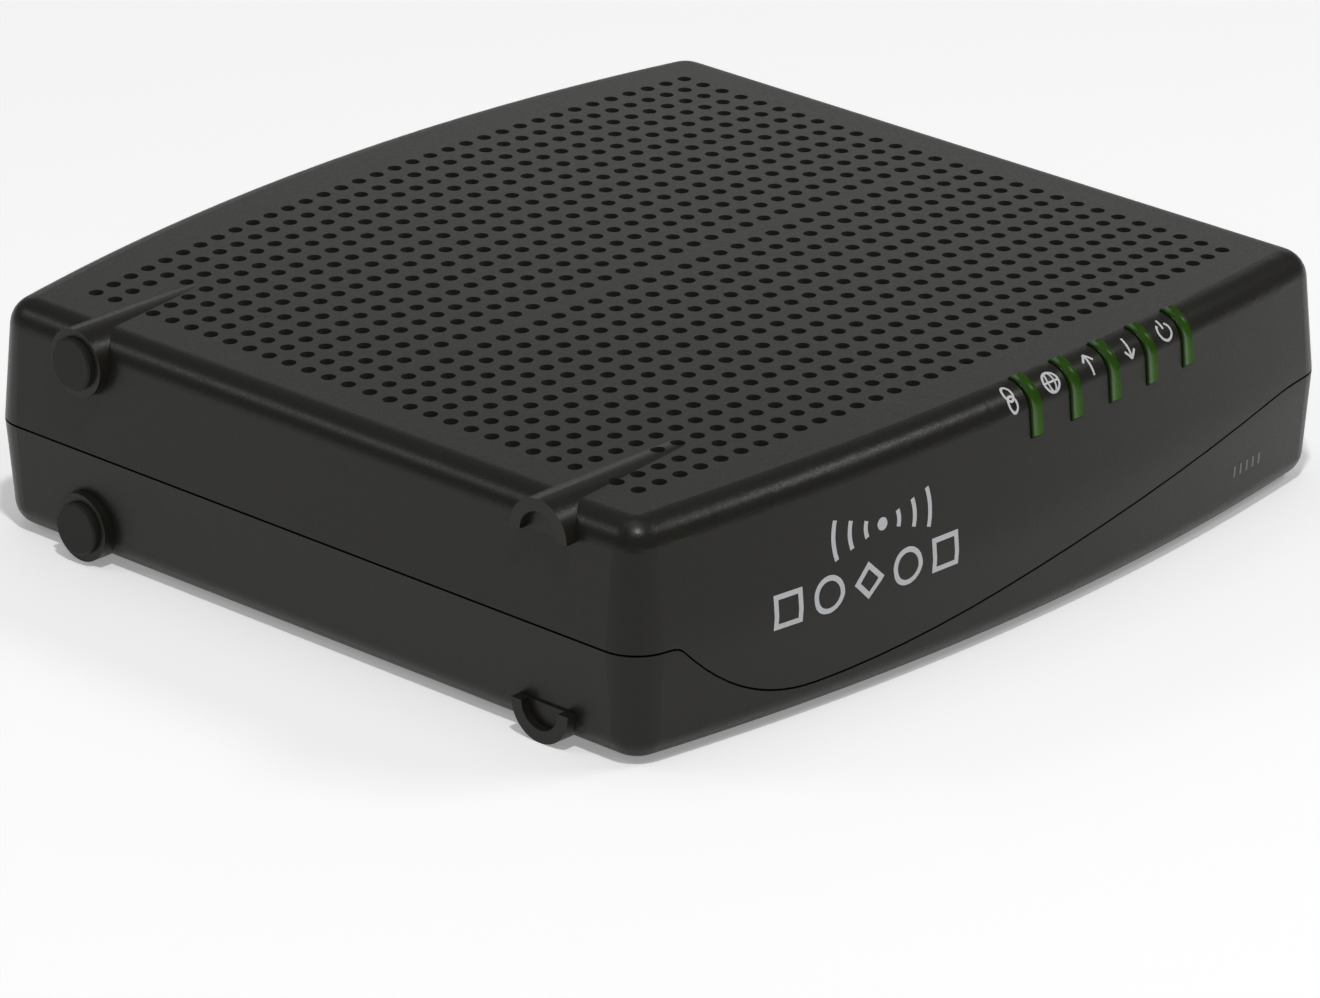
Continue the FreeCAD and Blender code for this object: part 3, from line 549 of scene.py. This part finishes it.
# ---------------------------------------------------------------- marks on the front
X, Y, Z = Vector((1, 0, 0)), Vector((0, 1, 0)), Vector((0, 0, 1))
SIGNAL_CENTRE = millimetres(-30.2, -80.0, 26.6)
SIGNAL_STROKE = 0.8
SIGNAL_ARCS = ((3.4, 1.3), (6.6, 2.2), (9.8, 3.1))     # radius and half height, in millimetres
SHAPES_CENTRE = millimetres(-33.4, -80.0, 18.65)
SHAPE_PITCH = 7.9
SHAPE_REACH = 3.0
SHAPE_STROKE = 0.85
SQUARE_GROWTH = 1.3      # the turned shapes, which are the upright squares, reach this much further
SHAPES = ((4, 45), (CIRCLE, 0), (4, 0), (CIRCLE, 0), (4, 45))    # corners and turn in degrees

BARS_CENTRE = millimetres(57.7, -80.0, 8.5)
BAR_PITCH, BAR_HALF_H, BAR_STROKE = 1.75, 0.9, 0.5


def front_marks(ink):
    """Generic marks: a dot between widening arcs, a row of five plain outlines, and five small bars."""
    signal = Print("top_shell", SIGNAL_CENTRE, X, Z)
    signal.dot((0, 0), 1.0)
    for radius, half_height in SIGNAL_ARCS:
        spread = math.degrees(math.asin(half_height / radius))
        for middle in (0, 180):
            signal.arc((0, 0), (radius, radius), (middle - spread, middle + spread), SIGNAL_STROKE)
    signal.piece("front_signal_mark", ink, "label_film")
    row = Print("top_shell", SHAPES_CENTRE, X, Z)
    for i, (corners, turn) in enumerate(SHAPES):
        offset = (i - (len(SHAPES) - 1) / 2) * SHAPE_PITCH
        reach = SHAPE_REACH * (SQUARE_GROWTH if turn else 1.0)
        row.shape((offset, 0), reach, SHAPE_STROKE, corners, turn)
    row.piece("front_shape_row", ink, "label_film")
    bars = Print("bottom_shell", BARS_CENTRE, X, Z)
    for i in range(-2, 3):
        bars.line((i * BAR_PITCH, -BAR_HALF_H), (i * BAR_PITCH, BAR_HALF_H), BAR_STROKE)
    bars.piece("front_small_bars", print_ink("grey_ink", (0.16, 0.16, 0.155)), "label_film")


# ---------------------------------------------------------------- icons beside the light pipes
ICON_STROKE = 0.42


def icon_link(pen):
    for side in (-1, 1):
        pen.arc((0, side * 0.85), (0.85, 1.25), (0, 360), ICON_STROKE)


def icon_online(pen):
    pen.arc((0, 0), (1.6, 1.6), (0, 360), ICON_STROKE, 36)
    pen.arc((0, 0), (0.7, 1.6), (0, 360), ICON_STROKE * 0.8)
    pen.line((-1.6, 0), (1.6, 0), ICON_STROKE * 0.8)


def icon_arrow(pen, sign):
    pen.line((0, -1.7 * sign), (0, 1.7 * sign), ICON_STROKE)
    for side in (-1, 1):
        pen.line((side * 1.15, 0.55 * sign), (0, 1.8 * sign), ICON_STROKE)


def icon_upstream(pen):
    icon_arrow(pen, 1)


def icon_downstream(pen):
    icon_arrow(pen, -1)


def icon_power(pen):
    pen.arc((0, -0.2), (1.45, 1.45), (125, 415), ICON_STROKE, 36)
    pen.line((0, 0.2), (0, 1.9), ICON_STROKE)


ICON_OFFSET = 4.4 * MM       # from the middle of a pipe
EDGE_INSET = 1.6 * MM        # from a pipe's front and top to the middle of the rounded edge
CAST_FROM = 2 * MM


def light_pipe_icons(ink):
    """One generic icon to the left of each light pipe, on the rounded front edge."""
    out_of_edge = (Z - Y).normalized()
    up_the_edge = (Z + Y).normalized()
    for draw in (icon_link, icon_online, icon_upstream, icon_downstream, icon_power):
        name = draw.__name__.replace("icon_", "")
        low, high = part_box("light_pipe_" + name)
        corner = Vector(((low.x + high.x) / 2 - ICON_OFFSET, low.y + EDGE_INSET, high.z - EDGE_INSET))
        pen = Print("top_shell", corner + out_of_edge * CAST_FROM, X, up_the_edge)
        draw(pen)
        pen.piece("icon_" + name, ink, "label_film")


# ---------------------------------------------------------------- marks on the rear panel and the label
PANEL_ICON_Z = 26.3 * MM
LABEL_LINES = ((-14, 9, 26), (-14, 5.5, 20), (-14, 2, 24), (-14, -1.5, 16))    # left x, y and length
LABEL_LINE_W, LABEL_MARGIN, LABEL_FRAME_W = 0.9, 1.5, 0.4
LABEL_SIGN_AT, LABEL_SIGN_R, LABEL_TRIANGLE_R, LABEL_SIGN_STROKE = (-22, 6), 4.2, 2.6, 0.6
BARCODE_BARS = (0.9, 0.4, 0.4, 1.2, 0.4, 0.8, 1.2, 0.4, 0.4, 0.8, 0.4, 1.2, 0.8, 0.4, 0.9, 0.4, 1.2, 0.4)
BARCODE_LEFT, BARCODE_Y, BARCODE_GAP = -14.0, (-12.5, -5.5), 0.7


def icon_direct_current(pen):
    pen.line((-1.7, 0.6), (1.7, 0.6), ICON_STROKE)
    for middle in (-1.25, 0, 1.25):
        pen.line((middle - 0.4, -0.6), (middle + 0.4, -0.6), ICON_STROKE)


def icon_network(pen):
    for x, y in ((0, 1.2), (-1.5, -1.1), (1.5, -1.1)):
        pen.shape((x, y), 0.8, 0.35, 4, 45)
    pen.line((0, 0.6), (0, 0.1), ICON_STROKE)
    pen.line((-1.5, 0.1), (1.5, 0.1), ICON_STROKE)
    for side in (-1.5, 1.5):
        pen.line((side, 0.1), (side, -0.5), ICON_STROKE)


def icon_restart(pen):
    pen.arc((0, 0), (1.3, 1.3), (70, 370), ICON_STROKE, 36)
    pen.line((1.3, 0.2), (0.6, 0.7), ICON_STROKE)
    pen.line((1.3, 0.2), (1.9, 0.8), ICON_STROKE)


def icon_coax(pen):
    pen.shape((0, 0), 1.6, ICON_STROKE, CIRCLE)
    pen.dot((0, 0), 0.5)


def rear_panel_icons(ink):
    """One generic icon above each socket."""
    icons = {"power_jack_body": icon_direct_current, "ethernet_housing": icon_network,
             "reset_switch": icon_restart, "coax_body": icon_coax}
    panel_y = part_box("rear_panel")[1].y
    for node_name, draw in icons.items():
        low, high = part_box(node_name)
        pen = Print("rear_panel", ((low.x + high.x) / 2, panel_y, PANEL_ICON_Z), -X, Z)
        draw(pen)
        pen.piece(draw.__name__.replace("icon_", "panel_icon_"), ink, "label_film")


def label_print(ink):
    """A frame, plain rules and a made-up bar pattern on the rating label."""
    low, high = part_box("rating_label")
    pen = Print("rating_label", ((low.x + high.x) / 2, (low.y + high.y) / 2, low.z), -X, Y)
    half_x, half_y = ((span / 2 / MM - LABEL_MARGIN) for span in (high.x - low.x, high.y - low.y))
    outer = [(sx * half_x, sy * half_y) for sx, sy in ((-1, -1), (1, -1), (1, 1), (-1, 1))]
    inner = [(x * (1 - LABEL_FRAME_W / half_x), y * (1 - LABEL_FRAME_W / half_y)) for x, y in outer]
    pen.band(outer, inner)
    for x, y, length in LABEL_LINES:
        pen.line((x, y), (x + length, y), LABEL_LINE_W)
    pen.shape(LABEL_SIGN_AT, LABEL_SIGN_R, LABEL_SIGN_STROKE, CIRCLE)
    pen.shape(LABEL_SIGN_AT, LABEL_TRIANGLE_R, LABEL_SIGN_STROKE, 3, 90)
    x = BARCODE_LEFT
    for width in BARCODE_BARS:
        pen.line((x + width / 2, BARCODE_Y[0]), (x + width / 2, BARCODE_Y[1]), width)
        x += width + BARCODE_GAP
    pen.piece("label_print", ink, "label_film")


# ---------------------------------------------------------------- the coaxial connector
THREAD_PITCH = 25.4 / 32 * MM
THREAD_DEPTH = 0.42 * MM
THREAD_FLAT = 0.125                # how far the flanks overshoot, which leaves flat crests and roots
THREAD_TURNS_SMOOTH = 0.9          # turns over which the thread fades in at the panel
TURN_STEPS = 72
PITCH_STEPS = 10
BORE_R = 3.8 * MM
END_CHAMFER = 0.5 * MM
COLLAR_R = 5.8 * MM
COLLAR_DEPTH = 2.6 * MM
# chamfers and roundings
COLLAR_EDGE = 0.25 * MM
MOUTH_EDGE = 0.2 * MM
BLOCK_EDGE = 0.7 * MM


def revolve(form, rings):
    """Joins rings of points into a closed tube; each ring is a list of TURN_STEPS points."""
    made = [[form.verts.new(p) for p in ring] for ring in rings]
    for first, second in zip(made, made[1:] + made[:1]):
        for i in range(TURN_STEPS):
            j = (i + 1) % TURN_STEPS
            form.faces.new((first[i], first[j], second[j], second[i]))
    bmesh.ops.recalc_face_normals(form, faces=form.faces)


def ring_round(axis, y, radius):
    """Ring of points round an axis along Y; radius is a number or a function of the turn, 0 to 1."""
    points = []
    for i in range(TURN_STEPS):
        turn = i / TURN_STEPS
        r = radius(turn) if callable(radius) else radius
        angle = 2 * math.pi * turn
        points.append((axis.x + r * math.cos(angle), y, axis.z + r * math.sin(angle)))
    return points


def thread_radius(full_r, y, start_y, end_y):
    """Radius of the thread at height y as a function of the turn; its flanks are straight."""
    turns_in = (y - start_y) / THREAD_PITCH
    fade = min(1.0, turns_in / THREAD_TURNS_SMOOTH)
    limit = full_r - max(0.0, y - (end_y - END_CHAMFER))

    def radius(turn):
        phase = (turns_in + turn) % 1.0
        flank = (1 + 2 * THREAD_FLAT) * (1 - abs(2 * phase - 1)) - THREAD_FLAT
        groove = min(1.0, max(0.0, flank))
        return min(limit, full_r - THREAD_DEPTH * groove * fade)

    return radius


def coax_connector(metal):
    """Threaded barrel, the collar that fills the panel's hole, and the die-cast block on the board."""
    mount = next(m for m in frame["record"]["mounts"] if m["name"] == "coax_connector")
    axis, full_r = Vector(mount["pos_m"]), mount["dims"]["r_mm"] * MM
    low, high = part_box("coax_body")
    panel_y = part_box("rear_panel")[1].y

    barrel = bmesh.new()
    steps = round((high.y - panel_y) / THREAD_PITCH * PITCH_STEPS)
    heights = [panel_y + (high.y - panel_y) * i / steps for i in range(steps + 1)]
    rings = [ring_round(axis, y, thread_radius(full_r, y, panel_y, high.y)) for y in heights]
    rings += [ring_round(axis, high.y, BORE_R + MOUTH_EDGE), ring_round(axis, high.y - MOUTH_EDGE, BORE_R),
              ring_round(axis, panel_y, BORE_R)]
    revolve(barrel, rings)
    pieces = [finish_piece(barrel, "coax_barrel", metal)]

    collar = bmesh.new()
    back_y = panel_y - COLLAR_DEPTH
    revolve(collar, [ring_round(axis, y, r) for y, r in (
        (back_y, COLLAR_R), (panel_y - COLLAR_EDGE, COLLAR_R), (panel_y, COLLAR_R - COLLAR_EDGE),
        (panel_y, BORE_R), (back_y, BORE_R))])
    pieces.append(finish_piece(collar, "coax_collar", metal))

    block = bmesh.new()
    bmesh.ops.create_cube(block, size=1.0)
    size = Vector((high.x - low.x, back_y - low.y, high.z - low.z))
    bmesh.ops.scale(block, vec=size, verts=block.verts)
    bmesh.ops.translate(block, vec=Vector(((low.x + high.x) / 2, (low.y + back_y) / 2, (low.z + high.z) / 2)),
                        verts=block.verts)
    bmesh.ops.bevel(block, geom=block.edges, offset=BLOCK_EDGE, segments=3, affect="EDGES")
    pieces.append(finish_piece(block, "coax_block", metal))
    for piece in pieces:
        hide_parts("coax_body")


make_camera()
paints = paint_cad_nodes()
make_stage()
make_light()
white_ink = print_ink("white_ink", (0.62, 0.62, 0.64))
silver_ink = print_ink("silver_ink", (0.56, 0.57, 0.58), 0.1)
dark_ink = print_ink("dark_ink", (0.02, 0.02, 0.02))
front_marks(silver_ink)
light_pipe_icons(white_ink)
rear_panel_icons(white_ink)
label_print(dark_ink)
coax_connector(paints["nickel"])
